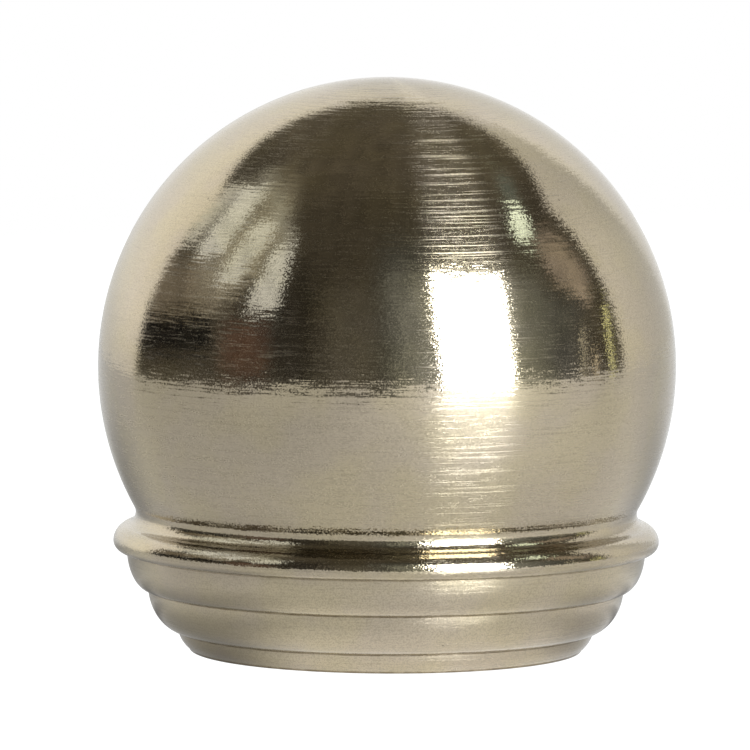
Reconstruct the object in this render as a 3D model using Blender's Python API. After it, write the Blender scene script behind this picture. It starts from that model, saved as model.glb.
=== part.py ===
"""Ball finial for the end of a round curtain rod, turned in one piece from metal bar.

The finial stands on its open rod socket. Metres, +Z up, the turning axis on Z, and the
origin at the centre of the flat underside. The ball, the hollow and the bead are arcs, and
an arc's angles say how far the surface faces up: 90 degrees is level and facing up, 0 is
upright, and -90 is level and facing down. Each tier's face is part of an oval.
"""

import math

import bmesh
import bpy

# Ball
BALL_DIAMETER = 0.0500

# Hollow between the ball and the bead
NECK_SET_IN = 0.00330
COVE_RADIUS = 0.0011

# Bead: the widest ring under the ball
BEAD_PROJECTION = 0.00192
BEAD_SHOULDER_RADIUS = 0.00145
BEAD_EDGE_RADIUS = 0.0008
BEAD_UNDERSIDE_ANGLE = math.radians(-75)
BEAD_UNDERSIDE_WIDTH = 0.00098
BEAD_STEP = 0.00018

# Three stepped tiers below the bead: height, and how far round an oval each face runs
UPPER_TIER_HEIGHT = 0.00330
UPPER_TIER_ROLL = math.radians(86)
MIDDLE_TIER_HEIGHT = 0.00360
MIDDLE_TIER_ROLL = math.radians(79)
LOWER_TIER_HEIGHT = 0.00173
LOWER_TIER_ROLL = math.radians(42)
TIER_START = math.radians(5)
TIER_STEP = 0.00013
RIM_EDGE_RADIUS = 0.0002

# How the tiers share the slope from the bead in to the rim
UPPER_TIER_SHARE = 1.71
MIDDLE_TIER_SHARE = 2.48
LOWER_TIER_SHARE = 0.94

# Socket that slips over the end of the rod
ROD_DIAMETER = 0.0280
ROD_CLEARANCE = 0.0004
RIM_WALL = 0.00283
SOCKET_DEPTH = 0.0180
SOCKET_CHAMFER = 0.0003

# Fineness of the solid
TURNS_AROUND = 88
BALL_TOP_STEPS = 14
BALL_LOWER_STEPS = 5
SMALL_ARC_STEPS = 4
TIER_STEPS = 4
SAME_POINT = 1e-6
SHARP_EDGE_ANGLE = math.radians(25)

# Satin nickel
NICKEL_COLOUR = (0.34, 0.293, 0.212, 1.0)
NICKEL_ROUGHNESS = 0.22


def round_stretch(centre, radius, start, end, steps):
    """Points of an arc from one facing angle to another. A hollow has a negative radius."""
    turn = (end - start) / steps
    angles = [start + turn * step for step in range(steps + 1)]
    return [(centre[0] + radius * math.cos(a), centre[1] + radius * math.sin(a)) for a in angles]


def rolled_stretch(top, bottom, roll, steps):
    """Points of a tier's face, nearly upright at its top and rolled in to its foot.

    The face is part of an oval, from just past the oval's widest place round to the angle roll.
    """
    wide = (top[0] - bottom[0]) / (math.cos(TIER_START) - math.cos(roll))
    tall = (top[1] - bottom[1]) / (math.sin(roll) - math.sin(TIER_START))
    centre = (top[0] - wide * math.cos(TIER_START), top[1] + tall * math.sin(TIER_START))
    turn = (roll - TIER_START) / steps
    angles = [TIER_START + turn * step for step in range(steps + 1)]
    return [(centre[0] + wide * math.cos(a), centre[1] - tall * math.sin(a)) for a in angles]


def tier_corners(bead_end, rim):
    """Top and bottom corner of each tier, from the bead's lower edge down to the rim."""
    shares = (UPPER_TIER_SHARE, MIDDLE_TIER_SHARE, LOWER_TIER_SHARE)
    heights = (UPPER_TIER_HEIGHT, MIDDLE_TIER_HEIGHT, LOWER_TIER_HEIGHT)
    steps_in = BEAD_STEP + TIER_STEP * (len(shares) - 1)
    slope_width = bead_end[0] - steps_in - rim
    corners = []
    radius, height = bead_end[0] - BEAD_STEP, bead_end[1]
    for share, tier_height in zip(shares, heights):
        foot = radius - slope_width * share / sum(shares)
        corners.append(((radius, height), (foot, height - tier_height)))
        radius, height = foot - TIER_STEP, height - tier_height
    return corners


def bead_edge(bead_end, bead_radius):
    """Height of the bead's widest ring, and the points from there to its lower edge."""
    turned_in = 1 - math.cos(BEAD_UNDERSIDE_ANGLE)
    radius = min(BEAD_EDGE_RADIUS, BEAD_UNDERSIDE_WIDTH / turned_in)
    slant = (BEAD_UNDERSIDE_WIDTH - radius * turned_in) / math.tan(-BEAD_UNDERSIDE_ANGLE)
    widest = bead_end[1] + slant - radius * math.sin(BEAD_UNDERSIDE_ANGLE)
    centre = (bead_radius - radius, widest)
    edge = round_stretch(centre, radius, 0, BEAD_UNDERSIDE_ANGLE, SMALL_ARC_STEPS)
    return widest, edge + [bead_end]


def ball_to_bead(bead_radius, widest):
    """Points from the ball's top, round the cove and over the bead's shoulder to its widest ring.

    The cove touches the ball and the shoulder without a corner. Where the bead stands out
    further than the two small arcs reach, a level shelf joins them.
    """
    ball_radius = BALL_DIAMETER / 2
    small_arcs = COVE_RADIUS + BEAD_SHOULDER_RADIUS
    meeting = math.acos(max(0.0, small_arcs - BEAD_PROJECTION) / small_arcs)
    shoulder = (bead_radius - BEAD_SHOULDER_RADIUS, widest)
    cove = (
        ball_radius - NECK_SET_IN + COVE_RADIUS,
        widest + small_arcs * math.sin(meeting),
    )
    reach = ball_radius + COVE_RADIUS
    join = -math.acos(cove[0] / reach)
    ball = (0.0, cove[1] - reach * math.sin(join))
    return (
        round_stretch(ball, ball_radius, math.pi / 2, 0, BALL_TOP_STEPS)
        + round_stretch(ball, ball_radius, 0, join, BALL_LOWER_STEPS)
        + round_stretch(cove, -COVE_RADIUS, join, meeting, SMALL_ARC_STEPS)
        + round_stretch(shoulder, BEAD_SHOULDER_RADIUS, meeting, 0, SMALL_ARC_STEPS)
    )


def base_tiers(bead_end, rim):
    """Points down the three tiers and round the rim's edge to the flat underside."""
    rolls = (UPPER_TIER_ROLL, MIDDLE_TIER_ROLL, LOWER_TIER_ROLL)
    points = []
    for (top, bottom), roll in zip(tier_corners(bead_end, rim), rolls):
        if bottom[1] < SAME_POINT:
            bottom = (bottom[0], RIM_EDGE_RADIUS)
        points += rolled_stretch(top, bottom, roll, TIER_STEPS)
    edge_centre = (rim - RIM_EDGE_RADIUS, RIM_EDGE_RADIUS)
    return points + round_stretch(edge_centre, RIM_EDGE_RADIUS, 0, -math.pi / 2, SMALL_ARC_STEPS)


def rod_socket():
    """Points from the flat underside up the blind socket to the middle of its floor."""
    bore = (ROD_DIAMETER + ROD_CLEARANCE) / 2
    return [
        (bore + SOCKET_CHAMFER, 0.0),
        (bore, SOCKET_CHAMFER),
        (bore, SOCKET_DEPTH),
        (0.0, SOCKET_DEPTH),
    ]


def turned_profile():
    """The whole half outline, from the top of the ball round to the socket's floor."""
    bead_radius = BALL_DIAMETER / 2 - NECK_SET_IN + BEAD_PROJECTION
    base_height = UPPER_TIER_HEIGHT + MIDDLE_TIER_HEIGHT + LOWER_TIER_HEIGHT
    bead_end = (bead_radius - BEAD_UNDERSIDE_WIDTH, base_height)
    rim = (ROD_DIAMETER + ROD_CLEARANCE) / 2 + RIM_WALL
    widest, edge = bead_edge(bead_end, bead_radius)
    points = ball_to_bead(bead_radius, widest) + edge + base_tiers(bead_end, rim) + rod_socket()
    outline = [points[0]]
    for point in points[1:]:
        if math.dist(point, outline[-1]) > SAME_POINT:
            outline.append(point)
    return outline


def spin_profile(name, outline):
    """A closed solid of revolution about Z from a half outline that starts and ends on the axis."""
    shape = bmesh.new()
    corners = [shape.verts.new((radius, 0.0, height)) for radius, height in outline]
    edges = [shape.edges.new(pair) for pair in zip(corners, corners[1:])]
    bmesh.ops.spin(
        shape,
        geom=corners + edges,
        cent=(0, 0, 0),
        axis=(0, 0, 1),
        angle=math.tau,
        steps=TURNS_AROUND,
        use_merge=True,
    )
    bmesh.ops.remove_doubles(shape, verts=shape.verts, dist=SAME_POINT / 10)
    bmesh.ops.recalc_face_normals(shape, faces=shape.faces)
    mesh = bpy.data.meshes.new(name)
    shape.to_mesh(mesh)
    shape.free()
    mesh.shade_smooth()
    mesh.set_sharp_from_angle(angle=SHARP_EDGE_ANGLE)
    return mesh


def satin_nickel():
    """Warm nickel with a fine turned finish."""
    material = bpy.data.materials.new("satin_nickel")
    material.use_nodes = True
    shader = material.node_tree.nodes["Principled BSDF"]
    shader.inputs["Base Color"].default_value = NICKEL_COLOUR
    shader.inputs["Metallic"].default_value = 1.0
    shader.inputs["Roughness"].default_value = NICKEL_ROUGHNESS
    return material


def make_finial():
    """The one turned piece, with its socket open at the underside."""
    mesh = spin_profile("ball_finial", turned_profile())
    mesh.materials.append(satin_nickel())
    finial = bpy.data.objects.new("ball_finial", mesh)
    bpy.context.scene.collection.objects.link(finial)


for thing in list(bpy.data.objects):
    bpy.data.objects.remove(thing, do_unlink=True)
make_finial()
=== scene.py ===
"""Looks of a ball finial for a curtain rod: satin nickel over a turned surface, on a light table.

The finial is one turned piece. Its profile is built from real sizes in metres, spun round the
Z axis by Geometry Nodes, and dressed in plated metal outside and bored metal in the rod socket.
"""

import logging
import math
from dataclasses import dataclass, replace
from enum import Enum

import bmesh
import bpy
from mathutils import Matrix, Vector


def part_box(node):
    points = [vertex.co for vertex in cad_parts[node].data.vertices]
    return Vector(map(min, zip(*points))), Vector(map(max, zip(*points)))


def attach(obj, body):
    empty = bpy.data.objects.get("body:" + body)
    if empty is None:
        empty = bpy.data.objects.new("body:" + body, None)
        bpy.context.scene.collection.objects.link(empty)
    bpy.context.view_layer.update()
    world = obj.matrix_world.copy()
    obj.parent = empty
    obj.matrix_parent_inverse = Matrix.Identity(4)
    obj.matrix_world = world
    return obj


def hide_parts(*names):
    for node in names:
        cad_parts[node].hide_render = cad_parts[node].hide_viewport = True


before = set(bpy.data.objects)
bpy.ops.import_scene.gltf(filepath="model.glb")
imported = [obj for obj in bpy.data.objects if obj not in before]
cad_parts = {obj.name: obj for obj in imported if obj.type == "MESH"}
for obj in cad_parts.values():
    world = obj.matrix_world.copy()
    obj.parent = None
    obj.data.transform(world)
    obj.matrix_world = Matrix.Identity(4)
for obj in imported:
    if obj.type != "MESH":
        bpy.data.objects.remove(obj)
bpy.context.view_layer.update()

log = logging.getLogger("finial")

NODE = "ball_finial"
BODY = "root"

Colour = tuple[float, float, float]
Point = tuple[float, float]
Socket = bpy.types.NodeSocket


class Outline(Enum):
    """The outline of a soft shape in the studio."""

    BOX = "box"
    OVAL = "oval"


class Zone(Enum):
    """How a stretch of the turned profile was finished."""

    PLATED = "plated"
    BORED = "bored"


class Value:
    """A number socket that Python's operators work on. Each one adds a Math node."""

    def __init__(self, nodes: "Nodes", socket: Socket) -> None:
        """Wraps an output socket of a tree."""
        self.nodes = nodes
        self.socket = socket

    def maths(self, operation: str, *operands: "Value | float") -> "Value":
        """Adds a Math node.

        Args:
            operation: Blender's name for it.
            operands: The node's inputs, in order.

        Returns:
            The node's result.
        """
        inputs = dict(enumerate(operands))
        node = self.nodes.add("ShaderNodeMath", inputs, operation=operation)
        return Value(self.nodes, node.outputs[0])

    def __add__(self, other: "Value | float") -> "Value":
        """Sum."""
        return self.maths("ADD", self, other)

    __radd__ = __add__

    def __sub__(self, other: "Value | float") -> "Value":
        """Difference."""
        return self.maths("SUBTRACT", self, other)

    def __rsub__(self, other: float) -> "Value":
        """Difference from a number."""
        return self.maths("SUBTRACT", other, self)

    def __mul__(self, other: "Value | float") -> "Value":
        """Product."""
        return self.maths("MULTIPLY", self, other)

    __rmul__ = __mul__

    def __truediv__(self, other: "Value | float") -> "Value":
        """Quotient."""
        return self.maths("DIVIDE", self, other)

    def __abs__(self) -> "Value":
        """Size without its sign."""
        return self.maths("ABSOLUTE", self)

    def floor(self) -> "Value":
        """The whole number below."""
        return self.maths("FLOOR", self)

    def root(self) -> "Value":
        """Square root."""
        return self.maths("SQRT", self)

    def sine(self) -> "Value":
        """Sine of an angle in radians."""
        return self.maths("SINE", self)

    def cosine(self) -> "Value":
        """Cosine of an angle in radians."""
        return self.maths("COSINE", self)

    def at_least(self, other: "Value | float") -> "Value":
        """The larger of the two."""
        return self.maths("MAXIMUM", self, other)

    def ramp(self, low: float, high: float, start: float = 0.0, end: float = 1.0) -> "Value":
        """Eases from start, where the value is low, to end, where it is high."""
        ends = {"Value": self, "From Min": low, "From Max": high, "To Min": start, "To Max": end}
        return self.nodes.value("ShaderNodeMapRange", "Result", ends, interpolation_type="SMOOTHSTEP")


class Nodes:
    """Adds nodes to one tree and links them."""

    def __init__(self, tree: bpy.types.NodeTree) -> None:
        """Starts from an empty tree."""
        self.tree = tree
        tree.nodes.clear()

    def add(self, kind: str, inputs: dict | None = None, **settings: object) -> bpy.types.Node:
        """Adds a node.

        Args:
            kind: Blender's name for the node's type.
            inputs: A value, a socket or a Value for each input, by its name or number.
            settings: The node's own settings, which are set first.

        Returns:
            The node.
        """
        node = self.tree.nodes.new(kind)
        for name, setting in settings.items():
            setattr(node, name, setting)
        for name, given in (inputs or {}).items():
            given = given.socket if isinstance(given, Value) else given
            if isinstance(given, Socket):
                self.tree.links.new(given, node.inputs[name])
            else:
                node.inputs[name].default_value = given
        return node

    def value(self, kind: str, output: str, inputs: dict | None = None, **settings: object) -> Value:
        """Adds a node and wraps one of its outputs.

        Args:
            kind: Blender's name for the node's type.
            output: The name of the output.
            inputs: As for add.
            settings: As for add.

        Returns:
            The output, for expressions.
        """
        return Value(self, self.add(kind, inputs, **settings).outputs[output])

    def vector(self, operation: str, *operands: object) -> Socket:
        """Adds a Vector Math node that gives a vector.

        Args:
            operation: Blender's name for it.
            operands: The node's inputs, in order.

        Returns:
            The vector.
        """
        inputs = dict(enumerate(operands))
        return self.add("ShaderNodeVectorMath", inputs, operation=operation).outputs["Vector"]

    def scaled(self, vector: object, factor: Value | float) -> Socket:
        """A vector times a number."""
        inputs = {0: vector, "Scale": factor}
        return self.add("ShaderNodeVectorMath", inputs, operation="SCALE").outputs["Vector"]

    def dot(self, first: object, second: object) -> Value:
        """How far one vector runs along another."""
        inputs = {0: first, 1: second}
        return self.value("ShaderNodeVectorMath", "Value", inputs, operation="DOT_PRODUCT")

    def combined(self, x: Value | float, y: Value | float, z: Value | float) -> Socket:
        """A vector from three numbers."""
        return self.add("ShaderNodeCombineXYZ", {"X": x, "Y": y, "Z": z}).outputs["Vector"]

    def separated(self, vector: object) -> tuple[Value, Value, Value]:
        """A vector's three numbers."""
        node = self.add("ShaderNodeSeparateXYZ", {"Vector": vector})
        return tuple(Value(self, output) for output in node.outputs)

    def mixed(self, factor: Value | float, first: object, second: object) -> Socket:
        """A colour between two, at first where the factor is 0."""
        node = self.add("ShaderNodeMix", {0: factor, 6: first, 7: second}, data_type="RGBA")
        return node.outputs[2]

    def noise(self, vector: object, detail: float, roughness: float = 0.5) -> bpy.types.Node:
        """Noise with features about as large as one unit of the vector."""
        inputs = {"Vector": vector, "Scale": 1.0, "Detail": detail, "Roughness": roughness}
        return self.add("ShaderNodeTexNoise", inputs)

    def cloud(self, vector: object, detail: float, roughness: float = 0.5) -> Value:
        """The same noise as one number, about 0.5 on average."""
        return Value(self, self.noise(vector, detail, roughness).outputs[0])

    def coordinates(self, kind: str) -> Socket:
        """A place in the object's own metres (Object), or a direction of the world (Generated)."""
        return self.add("ShaderNodeTexCoord").outputs[kind]

    def turning(self) -> tuple[Value, Value]:
        """How far round the piece, in turns, and down its profile, in shares of UV_LENGTH."""
        return self.separated(self.add("ShaderNodeUVMap", uv_map=TurnedPiece.UV_MAP).outputs["UV"])[:2]


def solid(colour: Colour) -> tuple[float, float, float, float]:
    """A colour with full alpha."""
    return (*colour, 1.0)


def new_material(name: str) -> tuple[bpy.types.Material, Nodes]:
    """Makes a material.

    Args:
        name: Its name.

    Returns:
        The material, and its tree with nothing in it.
    """
    material = bpy.data.materials.new(name)
    material.use_nodes = True
    return material, Nodes(material.node_tree)


def new_object(name: str, data: bpy.types.ID) -> bpy.types.Object:
    """Makes an object and links it to the scene.

    Args:
        name: Its name.
        data: Its mesh or camera.

    Returns:
        The object.
    """
    thing = bpy.data.objects.new(name, data)
    bpy.context.scene.collection.objects.link(thing)
    return thing


@dataclass
class SatinNickel:
    """Warm nickel plate over fine turned lines.

    Most of the plate is close to a mirror. Rubbed lines and grain smear light up and down the
    piece, across the lines, and lean the surface a little.

    Attributes:
        colour: What the plate reflects face on.
        gloss_roughness: Roughness of the plate between the lines.
        gloss_stretch: How far the plate draws out a highlight between the lines.
        rubbed_roughness: Roughness of the rubbed lines.
        rubbed_stretch: How far the rubbed lines draw out a highlight.
        rubbed_everywhere: Share of the surface that is rubbed between the lines too.
        line_share: How much more is rubbed in a long line.
        faint_share: What part of that is left outside the worn band.
        tier_share: What part of all rubbing is left on the tiers.
        streak_share: How much more is rubbed in a short streak.
        grain_share: How much more is rubbed in the coarse part of the grain.
        line_pitch: Distance from one long line to the next, in metres.
        line_length: Length of a long line, in metres.
        streak_pitch: Distance from one short streak to the next, in metres.
        streak_length: Length of a short streak, in metres.
        line_lean: How far the long lines lean the surface.
        streak_lean: How far the short streaks lean it.
        grain_size: Size of the fine grain, in metres.
        grain_lean: How far the grain leans the surface.
        neck_lean: How many times more it leans in the neck, where the tool chattered.
        speck_spacing: Distance between small dark specks, in metres.
        painted_shade_colour: What the plate reflects where shade is painted in the seams and on the rim's
            rolled-under edge.
    """

    colour: Colour = (0.34, 0.293, 0.212)
    gloss_roughness: float = 0.09
    gloss_stretch: float = 0.5
    rubbed_roughness: float = 0.34
    rubbed_stretch: float = 1.0
    rubbed_everywhere: float = 0.03
    line_share: float = 0.62
    faint_share: float = 0.24
    tier_share: float = 0.42
    streak_share: float = 0.26
    grain_share: float = 0.22
    line_pitch: float = 0.00021
    line_length: float = 0.022
    streak_pitch: float = 0.00016
    streak_length: float = 0.0022
    line_lean: float = 0.13
    streak_lean: float = 0.17
    grain_size: float = 0.00014
    grain_lean: float = 0.13
    neck_lean: float = 2.2
    speck_spacing: float = 0.0034
    # Painted shade: the dark line at each seam and at the rim's edge stands in for the shade there.
    painted_shade_colour: Colour = (0.105, 0.078, 0.044)

    NECK_TOP = 0.0128
    NECK_FOOT = 0.0086
    WORN_LEFT = (0.0018, 0.0040)
    WORN_RIGHT = (0.0235, 0.0195)
    WORN_RIGHT_LEAN = 0.33
    WORN_TOP = (0.0462, 0.0452)
    WORN_FOOT = (0.018, 0.025, 0.5, 1.0)
    CLOUDS_PER_METRE = 170.0
    # How finely the painted shade in the seams is broken into patches.
    SHADE_BREAKS_PER_METRE = 900.0

    def __post_init__(self) -> None:
        """Starts the material with what its parts share: place, way along the profile, and grain."""
        self.material, self.nodes = new_material("satin_nickel")
        self.place = self.nodes.coordinates("Object")
        self.along = self.nodes.turning()[1] * TurnedPiece.UV_LENGTH
        self.grain = self.nodes.noise(self.nodes.scaled(self.place, 1 / self.grain_size), 1.0)
        self.grain_level = Value(self.nodes, self.grain.outputs[0])

    def streaks(self, pitch: float, length: float) -> Value:
        """Streaks that run round the piece.

        Args:
            pitch: Distance from one streak to the next.
            length: Length of a streak.

        Returns:
            A number between -0.5 and 0.5, about 0 on average.
        """
        x, y, _ = self.nodes.separated(self.place)
        vector = self.nodes.combined(x / length, y / length, self.along / pitch)
        return self.nodes.cloud(vector, 2.0, 0.6) - 0.5

    def leaning_normal(self, lean: Value) -> Socket:
        """The surface's normal, leaned by lines and grain.

        Args:
            lean: How far the lines lean it up or down the profile.

        Returns:
            The normal.
        """
        nodes = self.nodes
        normal = nodes.add("ShaderNodeNewGeometry").outputs["Normal"]
        around = nodes.vector("NORMALIZE", nodes.vector("CROSS_PRODUCT", (0.0, 0.0, 1.0), self.place))
        down = nodes.vector("CROSS_PRODUCT", normal, around)
        height = nodes.separated(self.place)[2]
        top, foot = self.NECK_TOP, self.NECK_FOOT
        in_neck = height.ramp(top + 0.0008, top - 0.0004) * height.ramp(foot, foot + 0.0004)
        grain_lean = in_neck * (self.grain_lean * (self.neck_lean - 1)) + self.grain_lean
        centred = nodes.vector("SUBTRACT", self.grain.outputs["Color"], (0.5, 0.5, 0.5))
        leaned = nodes.vector("ADD", normal, nodes.scaled(down, lean))
        return nodes.vector("NORMALIZE", nodes.vector("ADD", leaned, nodes.scaled(centred, grain_lean)))

    def rubbed(self, line: Value, streak: Value) -> Value:
        """How much of the surface is rubbed.

        Args:
            line: The long lines.
            streak: The short streaks.

        Returns:
            The share, most in the lines of a worn band at the front and least on the tiers.
        """
        side, _, height = self.nodes.separated(self.place)
        worn = side.ramp(*self.WORN_LEFT) * (side + height * self.WORN_RIGHT_LEAN).ramp(*self.WORN_RIGHT)
        worn *= height.ramp(*self.WORN_TOP) * height.ramp(*self.WORN_FOOT)
        share = (
            line.ramp(0.04, 0.15) * (worn * (1 - self.faint_share) + self.faint_share) * self.line_share
            + streak.ramp(0.04, 0.18) * self.streak_share
            + self.grain_level.ramp(0.5, 0.75) * self.grain_share
            + self.rubbed_everywhere
        )
        return share * height.ramp(self.NECK_FOOT - 0.0004, self.NECK_FOOT, self.tier_share, 1.0)

    def plate(self) -> Socket:
        """The plate's colour.

        Returns:
            Warm and cool clouds and fine grain, with painted shade in the seams and under the rim's edge,
            and dark specks.
        """
        nodes = self.nodes
        cloud = nodes.cloud(nodes.scaled(self.place, self.CLOUDS_PER_METRE), 2.0).ramp(0.35, 0.65)
        fine = self.grain_level.ramp(0.3, 0.7)
        warm = nodes.mixed(fine, self.shade(0.87, 0.95), self.shade(1.13, 0.95))
        cool = nodes.mixed(fine, self.shade(0.86, 1.04), self.shade(1.10, 1.04))
        # Painted shade: darkens the plate in each seam's step and on the rim's rolled-under edge.
        seam = nodes.value("ShaderNodeAttribute", "Fac", attribute_name=TurnedPiece.PAINTED_SHADE)
        broken = nodes.cloud(nodes.scaled(self.place, self.SHADE_BREAKS_PER_METRE), 2.0).ramp(0.3, 0.65)
        clean = nodes.mixed(cloud, warm, cool)
        shade_painted = nodes.mixed(seam * (broken * 0.5 + 0.5), clean, solid(self.painted_shade_colour))
        inputs = {"Vector": nodes.scaled(self.place, 1 / self.speck_spacing), "Scale": 1.0}
        specks = nodes.value("ShaderNodeTexVoronoi", "Distance", inputs).ramp(0.035, 0.02)
        return nodes.mixed(specks * 0.7, shade_painted, self.shade(0.35))

    def shade(self, amount: float, blue: float = 1.0) -> tuple[float, float, float, float]:
        """The plate's colour, lighter or darker, and bluer or yellower."""
        return solid(tuple(part * amount * tint for part, tint in zip(self.colour, (1.0, 1.0, blue))))

    def build(self) -> bpy.types.Material:
        """Makes the material: a gloss and a smeared shader, mixed by how much is rubbed.

        Returns:
            The material.
        """
        line = self.streaks(self.line_pitch, self.line_length)
        streak = self.streaks(self.streak_pitch, self.streak_length)
        shared = {
            "Base Color": self.plate(),
            "Metallic": 1.0,
            "Normal": self.leaning_normal(line * self.line_lean + streak * self.streak_lean),
            "Anisotropic Rotation": 0.25,
        }
        gloss, smeared = (
            self.nodes.add(
                "ShaderNodeBsdfPrincipled", {**shared, "Roughness": roughness, "Anisotropic": stretch}
            ).outputs["BSDF"]
            for roughness, stretch in (
                (self.gloss_roughness, self.gloss_stretch),
                (self.rubbed_roughness, self.rubbed_stretch),
            )
        )
        inputs = {0: self.rubbed(line, streak), 1: gloss, 2: smeared}
        both = self.nodes.add("ShaderNodeMixShader", inputs)
        self.nodes.add("ShaderNodeOutputMaterial", {"Surface": both.outputs[0]})
        return self.material


@dataclass(frozen=True)
class BoredMetal:
    """Bare metal as the boring tool left it, with a fine spiral of tool marks.

    Attributes:
        colour: What the metal reflects face on.
        roughness: Its roughness between marks.
        mark_pitch: Distance from one mark to the next, in metres.
        mark_depth: Depth of a mark, in metres.
    """

    colour: Colour = (0.45, 0.44, 0.42)
    roughness: float = 0.34
    mark_pitch: float = 0.00035
    mark_depth: float = 0.000012

    STAIN = 0.78
    STAINS_PER_METRE = 260.0

    def build(self) -> bpy.types.Material:
        """Makes the material.

        Returns:
            The material.
        """
        material, nodes = new_material("bored_metal")
        place = nodes.coordinates("Object")
        around, along = nodes.turning()
        turns = along * (TurnedPiece.UV_LENGTH / self.mark_pitch) + around
        mark = (turns * math.tau).sine()
        stain = nodes.cloud(nodes.scaled(place, self.STAINS_PER_METRE), 3.0)
        stained = solid(tuple(part * self.STAIN for part in self.colour))
        metal = nodes.mixed(stain.ramp(0.35, 0.7), solid(self.colour), stained)
        marks = {"Strength": 0.6, "Distance": self.mark_depth, "Height": mark}
        bump = nodes.add("ShaderNodeBump", marks)
        inputs = {
            "Base Color": metal,
            "Metallic": 1.0,
            "Roughness": stain.ramp(0.3, 0.7, self.roughness, self.roughness + 0.12),
            "Normal": bump.outputs["Normal"],
        }
        shader = nodes.add("ShaderNodeBsdfPrincipled", inputs)
        nodes.add("ShaderNodeOutputMaterial", {"Surface": shader.outputs["BSDF"]})
        return material


@dataclass(frozen=True)
class Ring:
    """One ring of the turned profile.

    Attributes:
        radius: Distance from the axis, in metres.
        height: Height above the underside, in metres.
        zone: How the stretch that starts here was finished.
        seam: How much painted shade darkens the plate here, from 0 to 1.
    """

    radius: float
    height: float
    zone: Zone = Zone.PLATED
    seam: float = 0.0


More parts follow.
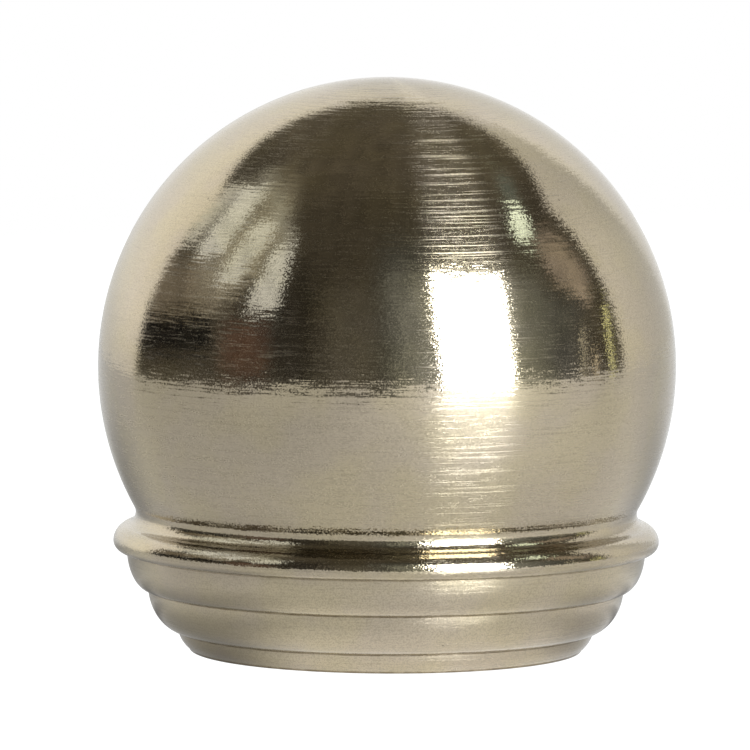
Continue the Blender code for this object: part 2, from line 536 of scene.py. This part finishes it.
@dataclass
class TurnedProfile:
    """The finial's half outline, from the top of the ball round to the socket's floor.

    An arc's angles say how far the surface faces up: 90 degrees is level and facing up, 0 is
    upright, and -90 is level and facing down. Sizes are in metres.
    """

    ball_radius: float = 0.0250
    neck_set_in: float = 0.00330
    cove_radius: float = 0.0011
    bead_projection: float = 0.00192
    bead_shoulder_radius: float = 0.00145
    bead_edge_radius: float = 0.0008
    bead_underside_angle: float = math.radians(-75)
    bead_underside_width: float = 0.00098
    bead_step: float = 0.00018
    tier_heights: tuple[float, float, float] = (0.00330, 0.00360, 0.00173)
    tier_rolls: tuple[float, float, float] = (math.radians(86), math.radians(79), math.radians(42))
    tier_shares: tuple[float, float, float] = (1.71, 2.48, 0.94)
    tier_start: float = math.radians(5)
    tier_step: float = 0.00013
    seam_width: float = 0.00006
    # Painted shade in the step at the top of each tier, from 0 to 1.
    tier_seam_shades: tuple[float, float, float] = (0.45, 0.95, 0.85)
    # Painted contact shadow on the rim's rolled-under edge, from 0 to 1.
    rim_contact_shadow: float = 0.8
    rim_edge_radius: float = 0.0002
    rod_radius: float = 0.0140
    rod_gap: float = 0.0002
    rim_wall: float = 0.00283
    socket_depth: float = 0.0180
    socket_chamfer: float = 0.0003
    socket_steps: int = 8
    ball_pitch: float = 0.00032
    fine_pitch: float = 0.00022

    def __post_init__(self) -> None:
        """Works out the sizes that follow from the others."""
        self.bead_radius = self.ball_radius - self.neck_set_in + self.bead_projection
        self.bore = self.rod_radius + self.rod_gap
        self.rim = self.bore + self.rim_wall
        self.bead_end = (self.bead_radius - self.bead_underside_width, sum(self.tier_heights))

    def arc(self, centre: Point, radius: float, start: float, end: float, pitch: float) -> list[Point]:
        """Points of an arc.

        Args:
            centre: Its centre.
            radius: Its radius, negative for a hollow.
            start: The angle that it starts at.
            end: The angle that it ends at.
            pitch: About how far apart the points are.

        Returns:
            The points, ends included.
        """
        steps = max(6, round(abs((end - start) * radius) / pitch))
        angles = [start + (end - start) * step / steps for step in range(steps + 1)]
        return [(centre[0] + radius * math.cos(a), centre[1] + radius * math.sin(a)) for a in angles]

    def rolled(self, top: Point, bottom: Point, roll: float) -> list[Point]:
        """Points of a tier's face, upright at its top and rolled in to its foot.

        Args:
            top: The upper corner.
            bottom: The lower corner.
            roll: How far round its oval the face runs.

        Returns:
            The points, corners included.
        """
        start = self.tier_start
        wide = (top[0] - bottom[0]) / (math.cos(start) - math.cos(roll))
        tall = (top[1] - bottom[1]) / (math.sin(roll) - math.sin(start))
        centre = (top[0] - wide * math.cos(start), top[1] + tall * math.sin(start))
        steps = round(math.dist(top, bottom) / self.fine_pitch)
        turns = [start + (roll - start) * step / steps for step in range(steps + 1)]
        turns[1:1] = [start + self.seam_width / tall, start + 2 * self.seam_width / tall]
        return [(centre[0] + wide * math.cos(t), centre[1] - tall * math.sin(t)) for t in turns]

    def bead(self) -> tuple[float, list[Point]]:
        """The bead's edge.

        Returns:
            The height of its widest ring, and the points from there to its lower edge.
        """
        angle = self.bead_underside_angle
        turned_in = self.bead_edge_radius * (1 - math.cos(angle))
        slant = (self.bead_underside_width - turned_in) / math.tan(-angle)
        widest = self.bead_end[1] + slant - self.bead_edge_radius * math.sin(angle)
        centre = (self.bead_radius - self.bead_edge_radius, widest)
        edge = self.arc(centre, self.bead_edge_radius, 0, angle, self.fine_pitch / 2)
        return widest, edge + [self.bead_end]

    def ball_to_bead(self, widest: float) -> list[Point]:
        """The ball, the cove and the bead's shoulder.

        Args:
            widest: The height of the bead's widest ring.

        Returns:
            The points from the ball's top down to that ring.
        """
        small_arcs = self.cove_radius + self.bead_shoulder_radius
        meeting = math.acos((small_arcs - self.bead_projection) / small_arcs)
        shoulder = (self.bead_radius - self.bead_shoulder_radius, widest)
        cove = (
            self.ball_radius - self.neck_set_in + self.cove_radius,
            widest + small_arcs * math.sin(meeting),
        )
        reach = self.ball_radius + self.cove_radius
        join = -math.acos(cove[0] / reach)
        ball = (0.0, cove[1] - reach * math.sin(join))
        fine = self.fine_pitch / 2
        return (
            self.arc(ball, self.ball_radius, math.pi / 2, 0, self.ball_pitch)
            + self.arc(ball, self.ball_radius, 0, join, self.ball_pitch)
            + self.arc(cove, -self.cove_radius, join, meeting, fine)
            + self.arc(shoulder, self.bead_shoulder_radius, meeting, 0, fine)
        )

    def tiers(self) -> list[Ring]:
        """The three tiers and the rim.

        Returns:
            The rings from the bead's lower edge down to the flat underside.
        """
        steps_in = self.bead_step + self.tier_step * (len(self.tier_shares) - 1)
        slope_width = self.bead_end[0] - steps_in - self.rim
        corner, step = self.bead_end, self.bead_step
        rings = []
        for share, height, roll, seam in zip(
            self.tier_shares, self.tier_heights, self.tier_rolls, self.tier_seam_shades
        ):
            top = (corner[0] - step, corner[1])
            foot = (top[0] - slope_width * share / sum(self.tier_shares), top[1] - height)
            if foot[1] < self.rim_edge_radius:
                foot = (foot[0], self.rim_edge_radius)
            face = [Ring(*point) for point in self.rolled(top, foot, roll)]
            # The first two rings under each step carry the painted seam shade.
            rings += [replace(ring, seam=seam) for ring in face[:2]] + face[2:]
            corner, step = foot, self.tier_step
        edge = (self.rim - self.rim_edge_radius, self.rim_edge_radius)
        rolled_under = self.arc(edge, self.rim_edge_radius, 0, -math.pi / 2, self.fine_pitch / 2)
        # The rolled-under edge carries a painted contact shadow.
        return rings + [Ring(*point, seam=self.rim_contact_shadow) for point in rolled_under]

    def across(self, start: Point, end: Point, steps: int) -> list[Point]:
        """Points of a straight stretch, its start left out."""
        shares = [step / steps for step in range(1, steps + 1)]
        return [tuple(a + (b - a) * share for a, b in zip(start, end)) for share in shares]

    def socket(self) -> list[Point]:
        """The rod socket.

        Returns:
            The points from the socket's mouth to the middle of its floor.
        """
        mouth = (self.bore + self.socket_chamfer, 0.0)
        wall = (self.bore, self.socket_chamfer)
        corner = (self.bore, self.socket_depth)
        floor_middle = (0.0, self.socket_depth)
        steps = self.socket_steps
        return [mouth, wall, *self.across(wall, corner, steps), *self.across(corner, floor_middle, steps)]

    def rings(self) -> list[Ring]:
        """The whole profile.

        Returns:
            The rings in order, with no point twice.
        """
        widest, edge = self.bead()
        plated = [Ring(*point) for point in self.ball_to_bead(widest) + edge] + self.tiers()
        bored = [Ring(*point, Zone.BORED) for point in self.socket()]
        rings = plated[:1]
        for ring in plated[1:] + bored:
            last = rings[-1]
            if math.dist((ring.radius, ring.height), (last.radius, last.height)) > TurnedPiece.MERGE:
                rings.append(ring)
        return rings


@dataclass
class TurnedPiece:
    """The finial's visible surface, spun from its profile by Geometry Nodes.

    Attributes:
        profile: The half outline.
        around: How many faces go round the piece.
        mark_depth: Depth of the tool's faint rings, in metres.
        mark_pitch: Distance between those rings, in metres.
        seed: Seed of the rings' depths.
    """

    profile: TurnedProfile
    around: int = 340
    mark_depth: float = 0.0000016
    mark_pitch: float = 0.0011
    seed: float = 4.0

    NAME = "turned_finial"
    UV_MAP = "turning"
    # The attribute carries where shade is painted on the plate.
    PAINTED_SHADE = "seam"
    UV_LENGTH = 0.120
    MERGE = 1e-7
    CREASE = math.radians(32)

    def profile_object(self, rings: list[Ring]) -> bpy.types.Object:
        """Puts the profile in a mesh whose points carry what the spinning needs.

        Args:
            rings: The profile.

        Returns:
            An unlinked object with one point for each ring.
        """
        mesh = bpy.data.meshes.new("finial_profile")
        points = [Vector((ring.radius, 0.0, ring.height)) for ring in rings]
        mesh.from_pydata(points, [(i, i + 1) for i in range(len(points) - 1)], [])
        along = mesh.attributes.new("along", "FLOAT", "POINT")
        seam = mesh.attributes.new(self.PAINTED_SHADE, "FLOAT", "POINT")
        facing = mesh.attributes.new("facing", "FLOAT_VECTOR", "POINT")
        length = 0.0
        for index, point in enumerate(points):
            before, after = points[max(index - 1, 0)], points[min(index + 1, len(points) - 1)]
            length += (point - before).length
            along.data[index].value = length
            seam.data[index].value = rings[index].seam
            marked = rings[index].zone is Zone.PLATED and point.z > self.profile.rim_edge_radius
            run = (after - before).normalized() if marked and point.x > 0 else Vector()
            facing.data[index].vector = (-run.z, 0.0, run.x)
        return bpy.data.objects.new("finial_profile", mesh)

    def fill_tree(self, tree: bpy.types.GeometryNodeTree) -> None:
        """Adds the nodes that spin a profile round Z, mark it with faint rings and finish it.

        Args:
            tree: The tree, with its inputs and its output.
        """
        nodes = Nodes(tree)
        given = nodes.add("NodeGroupInput").outputs
        info = nodes.add("GeometryNodeObjectInfo", {"Object": given["Profile"]})
        profile = info.outputs["Geometry"]
        size = nodes.add("GeometryNodeAttributeDomainSize", {"Geometry": profile})
        around = Value(nodes, given["Around"])
        corners = {"Vertices X": size.outputs["Point Count"], "Vertices Y": around + 1.0}
        grid = nodes.add("GeometryNodeMeshGrid", corners)
        index = nodes.value("GeometryNodeInputIndex", "Index")
        ring = ((index + 0.5) / (around + 1.0)).floor()
        turn = (index - ring * (around + 1.0)) / around
        along = self.sampled(nodes, profile, ring, "along")
        step = along / Value(nodes, given["Mark Pitch"]) + Value(nodes, given["Seed"])
        inputs = {"W": step, "Scale": 1.0, "Detail": 1.0}
        noise = nodes.add("ShaderNodeTexNoise", inputs, noise_dimensions="1D")
        mark = (Value(nodes, noise.outputs[0]) - 0.5) * Value(nodes, given["Mark Depth"])
        facing = nodes.scaled(self.sampled(nodes, profile, ring, "facing"), mark)
        place = self.sampled(nodes, profile, ring, "position")
        radius, _, height = nodes.separated(nodes.vector("ADD", place, facing))
        angle = turn * math.tau
        spun = nodes.combined(radius * angle.cosine(), radius * angle.sine(), height)
        seam = self.sampled(nodes, profile, ring, self.PAINTED_SHADE)
        on_points = {"data_type": "FLOAT", "domain": "POINT"}
        flat = {"Value": nodes.combined(turn, along / self.UV_LENGTH, 0.0)}
        turning = nodes.value(
            "GeometryNodeFieldOnDomain", "Value", flat, data_type="FLOAT_VECTOR", domain="POINT"
        )
        rings = {"A": self.named(nodes, "ring", "FLOAT"), "B": given["First Bored Ring"]}
        bored = nodes.value(
            "FunctionNodeCompare", "Result", rings, data_type="FLOAT", operation="GREATER_EQUAL"
        )
        geometry = grid.outputs["Mesh"]
        for kind, settings, inputs in (
            ("StoreNamedAttribute", on_points, {"Name": "ring", "Value": ring}),
            ("StoreNamedAttribute", on_points, {"Name": self.PAINTED_SHADE, "Value": seam}),
            (
                "StoreNamedAttribute",
                {"data_type": "FLOAT2", "domain": "CORNER"},
                {"Name": self.UV_MAP, "Value": turning},
            ),
            ("SetPosition", {}, {"Position": spun}),
            ("MergeByDistance", {}, {"Distance": self.MERGE}),
            ("RealizeInstances", {}, {}),
            ("SetMaterial", {}, {"Material": given["Plated"]}),
            ("SetMaterial", {}, {"Selection": bored, "Material": given["Bored"]}),
        ):
            node = nodes.add(f"GeometryNode{kind}", {"Geometry": geometry, **inputs}, **settings)
            geometry = node.outputs[0]
        nodes.add("NodeGroupOutput", {"Geometry": geometry})

    def named(self, nodes: Nodes, name: str, kind: str) -> Value:
        """Reads an attribute by its name."""
        return nodes.value("GeometryNodeInputNamedAttribute", "Attribute", {"Name": name}, data_type=kind)

    def sampled(self, nodes: Nodes, profile: Socket, ring: Value, name: str) -> Value:
        """Reads what a ring of the profile carries.

        Args:
            nodes: The tree.
            profile: The profile's geometry.
            ring: The number of the ring.
            name: position, or the name of an attribute.

        Returns:
            The ring's value.
        """
        kind = "FLOAT" if name in ("along", self.PAINTED_SHADE) else "FLOAT_VECTOR"
        inputs = {"Geometry": profile, "Value": self.named(nodes, name, kind), "Index": ring}
        return nodes.value("GeometryNodeSampleIndex", "Value", inputs, data_type=kind)

    def spin(self, plated: bpy.types.Material, bored: bpy.types.Material) -> bpy.types.Mesh:
        """Spins the profile and keeps the result as a plain mesh.

        Args:
            plated: The outer finish.
            bored: The socket's finish.

        Returns:
            The mesh.
        """
        rings = self.profile.rings()
        guide = self.profile_object(rings)
        holder = new_object("finial_spinning", bpy.data.meshes.new("finial_spinning"))
        settings = {
            "Profile": ("Object", guide),
            "Around": ("Int", self.around),
            "Mark Depth": ("Float", self.mark_depth),
            "Mark Pitch": ("Float", self.mark_pitch),
            "Seed": ("Float", self.seed),
            "First Bored Ring": ("Int", [ring.zone for ring in rings].index(Zone.BORED)),
            "Plated": ("Material", plated),
            "Bored": ("Material", bored),
        }
        tree = bpy.data.node_groups.new("spin_profile", "GeometryNodeTree")
        sockets = {}
        for name, (kind, _) in settings.items():
            item = tree.interface.new_socket(name, in_out="INPUT", socket_type=f"NodeSocket{kind}")
            sockets[name] = item.identifier
        tree.interface.new_socket("Geometry", in_out="OUTPUT", socket_type="NodeSocketGeometry")
        self.fill_tree(tree)
        modifier = holder.modifiers.new("spin", "NODES")
        modifier.node_group = tree
        for name, (_, setting) in settings.items():
            modifier[sockets[name]] = setting
        spun = holder.evaluated_get(bpy.context.evaluated_depsgraph_get())
        mesh = bpy.data.meshes.new_from_object(spun)
        for helper in (holder, guide):
            bpy.data.objects.remove(helper, do_unlink=True)
        log.info("%d rings", len(rings))
        return mesh

    def tidy(self, mesh: bpy.types.Mesh) -> None:
        """Closes the mesh, turns its faces outward and sets its creases.

        Args:
            mesh: The spun mesh.
        """
        shape = bmesh.new()
        shape.from_mesh(mesh)
        bmesh.ops.remove_doubles(shape, verts=shape.verts, dist=self.MERGE)
        bmesh.ops.recalc_face_normals(shape, faces=shape.faces)
        shape.to_mesh(mesh)
        shape.free()
        mesh.attributes.remove(mesh.attributes["ring"])
        mesh.shade_smooth()
        mesh.set_sharp_from_angle(angle=self.CREASE)

    def build(self, plated: bpy.types.Material, bored: bpy.types.Material) -> None:
        """Makes the piece in place of the finial's solid.

        Args:
            plated: The outer finish.
            bored: The socket's finish.
        """
        mesh = self.spin(plated, bored)
        self.tidy(mesh)
        mesh.name = self.NAME
        piece = new_object(self.NAME, mesh)
        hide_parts(NODE)
        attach(piece, BODY)
        log.info("%s: %d triangles", piece.name, sum(len(face.vertices) - 2 for face in mesh.polygons))


@dataclass(frozen=True)
class SoftShape:
    """A light, a window or a dark thing round the studio.

    It is placed by where a mirror ball shows it to the camera, as shares of the ball's radius
    from its middle.

    Attributes:
        name: What it is.
        across: Its middle, to the right.
        up: Its middle, upward.
        half_width: Half its width.
        half_height: Half its height.
        light: What it gives off.
        softness: How wide its edge is.
        lean: How far it moves to the right for each unit upward.
        outline: Its outline.
        taper: How much its half width shrinks for each unit upward.
    """

    name: str
    across: float
    up: float
    half_width: float
    half_height: float
    light: Colour
    softness: float = 0.012
    lean: float = 0.0
    outline: Outline = Outline.BOX
    taper: float = 0.0

    def mask(self, across: Value, up: Value) -> Value:
        """Where the shape is.

        Args:
            across: Place on the mirror ball, to the right.
            up: Place on the mirror ball, upward.

        Returns:
            1 inside and 0 outside.
        """
        risen = up - self.up
        aside = across - self.across - risen * self.lean
        if self.outline is Outline.OVAL:
            wide, high = aside / self.half_width, risen / self.half_height
            edge = self.softness / min(self.half_width, self.half_height)
            return (wide * wide + high * high).root().ramp(1 + edge, 1 - edge)
        narrowed = abs(aside) + risen * self.taper
        inside_width = narrowed.ramp(self.half_width + self.softness, self.half_width - self.softness)
        inside_height = abs(risen).ramp(self.half_height + self.softness, self.half_height - self.softness)
        return inside_width * inside_height


@dataclass(frozen=True)
class Camera:
    """A long lens that looks slightly down on the ball.

    Attributes:
        distance: From the lens to the middle of the ball, in metres.
        elevation: How far above level the lens stands.
        roll: How far the camera is turned about its own axis.
        frame_width: Width of the picture, in pixels.
        ball_radius_in_frame: The ball's radius in the picture, in pixels.
        ball_right: How far right of the picture's middle the ball is, in pixels.
        ball_above: How far above the picture's middle the ball is, in pixels.
    """

    distance: float = 1.0
    elevation: float = math.radians(5.73)
    roll: float = math.radians(0.3)
    frame_width: float = 750.0
    ball_radius_in_frame: float = 289.04
    ball_right: float = 12.04
    ball_above: float = 9.0

    def axes(self) -> tuple[Vector, Vector, Vector]:
        """The camera's directions.

        Returns:
            To its right, up, and from the ball to the camera.
        """
        toward = Vector((0.0, -math.cos(self.elevation), math.sin(self.elevation)))
        right = Vector((1.0, 0.0, 0.0))
        return right, toward.cross(right), toward

    def build(self, ball_middle: Vector, ball_radius: float) -> None:
        """Makes the scene's camera.

        Args:
            ball_middle: The middle of the ball.
            ball_radius: The ball's radius in metres.
        """
        data = bpy.data.cameras.new("camera")
        focal_pixels = self.ball_radius_in_frame * self.distance / ball_radius
        data.lens = focal_pixels / self.frame_width * data.sensor_width
        data.shift_x = -self.ball_right / self.frame_width
        data.shift_y = -self.ball_above / self.frame_width
        data.clip_start, data.clip_end = 0.05, 20.0
        camera = new_object("camera", data)
        right, up, toward = self.axes()
        turned = Matrix((right, up, toward)).transposed().to_4x4() @ Matrix.Rotation(self.roll, 4, "Z")
        camera.matrix_world = Matrix.Translation(ball_middle + toward * self.distance) @ turned
        bpy.context.scene.camera = camera


@dataclass
class Studio:
    """A light table in a dark room, with a pale backdrop that wraps round behind it.

    Attributes:
        camera: The camera, which the room is laid out for.
        clutter_scale: How fine the clutter in the room is.
        table_radius: Radius of the round table, in metres.
        table_aside: How far right of the finial the table's middle is, in metres.
        table_white: How much light the table's top scatters.
        table_roughness: Roughness of its sheen.
        table_sheen: How strong the sheen is.
        table_glow: Its glow to the left, its glow in the middle, what is added right in front, and
            what is added far in front.
        shadow_left: The finial's shadow behind it to the left.
        shadow_right: The finial's shadow behind it to the right.
        foot_shadow: The shadow beside its foot.
        back_shadow: The shadow close behind it.
        camera_shadow: The camera's shadow at the table's front edge.
        front_fade: Where in front the table starts and ends to look darker, in metres.
        front_dim: How light it looks beyond that, where only a view from behind shows it.
        front_glow: What the finial throws back on the table right in front of its foot.
    """

    camera: Camera
    clutter_scale: float = 26.0
    table_radius: float = 0.46
    table_aside: float = 0.18
    table_white: float = 0.50
    table_roughness: float = 0.48
    table_sheen: float = 0.20
    table_glow: tuple[float, float, float, float] = (0.35, 0.60, 0.16, 0.18)
    shadow_left: float = 0.60
    shadow_right: float = 0.66
    foot_shadow: float = 0.45
    back_shadow: float = 0.86
    camera_shadow: float = 0.8
    front_fade: Point = (-0.085, -0.16)
    front_dim: float = 0.60
    front_glow: float = 0.28

    TABLE_SEEN = (1.15, 1.15, 1.15)
    ROOM = (0.120, 0.108, 0.083)
    BACKDROP_LEFT = (1.74, 1.72, 1.66)
    BACKDROP_RIGHT = (1.43, 1.42, 1.365)
    BACKDROP_FAR = (1.66, 1.65, 1.62)

    def fittings(self) -> list[SoftShape]:
        """What stands and hangs in the dark room.

        Returns:
            The shapes, each in front of the ones before it.
        """
        pane = (1.52, 1.62, 1.68)
        faint = (0.70, 0.72, 0.68)
        bar = (0.36, 0.34, 0.28)
        box, oval = Outline.BOX, Outline.OVAL
        rows = (
            ("dark corner", -0.36, 0.05, 0.14, 0.30, (0.055, 0.050, 0.042), 0.09),
            ("middle wall", -0.08, 0.09, 0.13, 0.16, (0.185, 0.175, 0.150), 0.07),
            ("grey wall", 0.06, 0.15, 0.09, 0.28, (0.12, 0.125, 0.12), 0.06),
            ("upper wall", 0.02, 0.74, 0.42, 0.16, (0.195, 0.175, 0.136), 0.09),
            ("far wall", 0.55, 0.05, 0.12, 0.20, (0.17, 0.18, 0.18), 0.06),
            ("dresser", -0.68, 0.27, 0.13, 0.085, (0.36, 0.32, 0.26), 0.05, 0.3),
            ("black cabinet", -0.727, 0.10, 0.125, 0.065, (0.002, 0.002, 0.002), 0.03),
            ("wooden door", -0.49, 0.05, 0.075, 0.09, (0.19, 0.115, 0.085), 0.04),
            ("window frame", -0.49, 0.42, 0.118, 0.21, (0.62, 0.60, 0.52), 0.04, 0.5, oval),
            ("pane 1", -0.600, 0.520, 0.027, 0.100, (1.20, 1.25, 1.25), 0.012, 0.90),
            ("pane 2", -0.537, 0.491, 0.047, 0.118, pane, 0.012, 0.72),
            ("pane 3", -0.481, 0.389, 0.043, 0.107, pane, 0.012, 0.73),
            ("pane 4", -0.394, 0.300, 0.042, 0.118, pane, 0.012, 0.37, box, 0.08),
            ("pane 5", -0.374, 0.545, 0.022, 0.120, faint, 0.02, -0.36),
            ("upper bar", -0.482, 0.483, 0.006, 0.137, bar, 0.006, 0.80),
            ("lower bar", -0.436, 0.341, 0.006, 0.095, bar, 0.006, 0.695),
            ("lamp stem", 0.410, 0.610, 0.024, 0.046, (0.25, 0.30, 0.28), 0.02, -0.3, oval),
            ("green lamp", 0.453, 0.484, 0.032, 0.060, (2.6, 3.1, 2.8), 0.010, -0.3, oval),
            ("armchair", 0.600, 0.350, 0.060, 0.100, (0.66, 0.58, 0.52), 0.03, -0.6, oval),
            ("chair arm", 0.655, 0.275, 0.018, 0.070, (0.80, 0.70, 0.62), 0.010, -0.5, oval),
            ("thin lamp 1", 0.675, 0.040, 0.0035, 0.085, (1.5, 1.45, 1.2), 0.004, -0.03),
            ("thin lamp 2", 0.717, 0.0, 0.003, 0.050, (2.2, 2.0, 1.6), 0.004, -0.03),
            ("thin lamp 3", 0.763, 0.090, 0.004, 0.120, (2.5, 2.6, 1.5), 0.004, -0.13),
            ("lit wall", 0.280, 0.045, 0.245, 0.260, (0.46, 0.49, 0.46), 0.08, -0.10),
            ("strip light", 0.301, 0.067, 0.119, 0.235, (21.0, 22.0, 23.2), 0.009, -0.135),
        )
        return [SoftShape(*row) for row in rows]

    def mirror_ball_place(self, nodes: Nodes) -> tuple[Value, Value]:
        """Where a mirror ball shows the camera each direction of the room.

        Args:
            nodes: The world's tree.

        Returns:
            The place to the right and upward, as shares of the ball's radius.
        """
        direction = nodes.coordinates("Generated")
        right, up, toward = (nodes.dot(direction, tuple(axis)) for axis in self.camera.axes())
        doubled = ((toward + 1.0) * 2.0).at_least(1e-6).root()
        return right / doubled, up / doubled

    def room_light(self, nodes: Nodes) -> Socket:
        """The light from every direction: backdrop, room and fittings.

        Args:
            nodes: The world's tree.

        Returns:
            The colour.
        """
        across, up = self.mirror_ball_place(nodes)
        side = across.ramp(-0.3, 0.7)
        height = nodes.separated(nodes.coordinates("Generated"))[2]
        level = height.ramp(0.14, -0.09, 1.0, 0.74)
        to_rim = (across * across + up * up).root()
        lower = up.ramp(0.35, 0.68, 1.0, 0.80)
        left = nodes.scaled(self.BACKDROP_LEFT, to_rim.ramp(0.89, 1.03, 1.0, 0.56) * level)
        right = nodes.scaled(self.BACKDROP_RIGHT, to_rim.ramp(0.80, 1.02, 1.0, 0.525) * lower)
        backdrop = nodes.mixed(side, left, right)
        near, room, upper_room = (
            SoftShape(*row, outline=Outline.OVAL).mask(across, up)
            for row in (
                ("near backdrop", -0.30, -0.02, 1.302, 0.988, self.BACKDROP_LEFT),
                ("room", -0.024, -0.066, 0.841, 0.837, self.ROOM),
                ("upper room", -0.022, 0.468, 0.576, 0.439, self.ROOM),
            )
        )
        far = nodes.scaled(self.BACKDROP_FAR, to_rim.ramp(0.90, 1.0, 1.0, 0.6))
        light = nodes.mixed(near, far, backdrop)
        inside = solid(self.ROOM)
        for shape in self.fittings():
            inside = nodes.mixed(shape.mask(across, up), inside, solid(shape.light))
        place = nodes.scaled(nodes.combined(across, up, 0.0), self.clutter_scale)
        clutter = nodes.cloud(place, 4.0, 0.6).ramp(0.3, 0.7, 0.62, 1.38)
        return nodes.mixed(room.at_least(upper_room), light, nodes.scaled(inside, clutter))

    def build_world(self) -> None:
        """Lights the scene from the room. The camera itself sees plain white past the table."""
        world = bpy.data.worlds.new("studio")
        world.use_nodes = True
        nodes = Nodes(world.node_tree)
        seen = nodes.add("ShaderNodeLightPath").outputs["Is Camera Ray"]
        light = nodes.mixed(seen, self.room_light(nodes), solid((1.0, 1.0, 1.0)))
        background = nodes.add("ShaderNodeBackground", {"Color": light, "Strength": 1.0})
        nodes.add("ShaderNodeOutputWorld", {"Surface": background.outputs[0]})
        bpy.context.scene.world = world

    def table_light(self, nodes: Nodes) -> tuple[Value, Value]:
        """How the table glows: dimmer to the left, and in the finial's shadow behind and beside it.

        Args:
            nodes: The material's tree.

        Returns:
            The glow, and the share of all light that the shadow takes away.
        """
        x, y, _ = nodes.separated(nodes.coordinates("Object"))
        glow = x.ramp(-0.050, 0.012, self.table_glow[0], self.table_glow[1])
        glow += x.ramp(0.010, 0.055) * y.ramp(0.0, -0.035) * self.table_glow[2]
        glow += y.ramp(-0.04, -0.16) * self.table_glow[3]
        from_axis = (x * x + y * y).root().at_least(0.001)
        aside, back = x / from_axis, y / from_axis
        deepest = x.ramp(-0.02, 0.02, self.shadow_left, self.shadow_right)
        behind = back.ramp(0.15, 0.85) * from_axis.ramp(0.03, 0.16, 1.0, 0.52) * deepest
        beside = aside.ramp(-0.35, -0.8).at_least(aside.ramp(0.75, 1.0))
        foot = from_axis.ramp(0.036, 0.020) * beside * self.foot_shadow
        front = y.ramp(-0.27, -0.31) * abs(x + 0.075).ramp(0.10, 0.055) * self.camera_shadow
        deep = from_axis.ramp(0.040, 0.024) * back.ramp(-0.1, 0.5) * self.back_shadow
        glow += from_axis.ramp(0.027, 0.019) * back.ramp(-0.5, -0.95) * self.front_glow
        return glow, behind.at_least(foot).at_least(deep).at_least(front)

    def table_material(self) -> bpy.types.Material:
        """White acrylic, lit from below. The camera sees it plain.

        Returns:
            The material.
        """
        material, nodes = new_material("light_table")
        glow, shaded = self.table_light(nodes)
        lit = nodes.scaled((1.0, 1.0, 1.01), glow * (1.0 - shaded))
        top = nodes.mixed(shaded, solid((self.table_white,) * 3), solid((0.0, 0.0, 0.0)))
        inputs = {
            "Base Color": top,
            "Roughness": self.table_roughness,
            "Specular IOR Level": self.table_sheen,
            "Emission Color": lit,
            "Emission Strength": 1.0,
        }
        shader = nodes.add("ShaderNodeBsdfPrincipled", inputs)
        front = nodes.separated(nodes.coordinates("Object"))[1]
        shown = nodes.scaled(self.TABLE_SEEN, front.ramp(*self.front_fade, 1.0, self.front_dim))
        plain = nodes.add("ShaderNodeEmission", {"Color": shown})
        seen = nodes.add("ShaderNodeLightPath").outputs["Is Camera Ray"]
        ways = {0: seen, 1: shader.outputs["BSDF"], 2: plain.outputs["Emission"]}
        both = nodes.add("ShaderNodeMixShader", ways)
        nodes.add("ShaderNodeOutputMaterial", {"Surface": both.outputs[0]})
        return material

    def build_table(self) -> None:
        """Makes the round table top that the finial stands on."""
        shape = bmesh.new()
        offset = Matrix.Translation((self.table_aside, 0.0, 0.0))
        bmesh.ops.create_circle(shape, cap_ends=True, radius=self.table_radius, segments=96, matrix=offset)
        mesh = bpy.data.meshes.new("light_table")
        shape.to_mesh(mesh)
        shape.free()
        mesh.materials.append(self.table_material())
        table = new_object("light_table", mesh)

    def build(self) -> None:
        """Makes the world and the table, and shows colours as they are."""
        self.build_world()
        self.build_table()
        bpy.context.scene.view_settings.view_transform = "Standard"


def main() -> None:
    """Builds the finial, the studio and the camera."""
    logging.basicConfig(level=logging.INFO, format="%(name)s: %(message)s")
    profile = TurnedProfile()
    TurnedPiece(profile).build(SatinNickel().build(), BoredMetal().build())
    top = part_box(NODE)[1][2]
    camera = Camera()
    camera.build(Vector((0.0, 0.0, top - profile.ball_radius)), profile.ball_radius)
    Studio(camera).build()


if __name__ == "__main__":
    main()
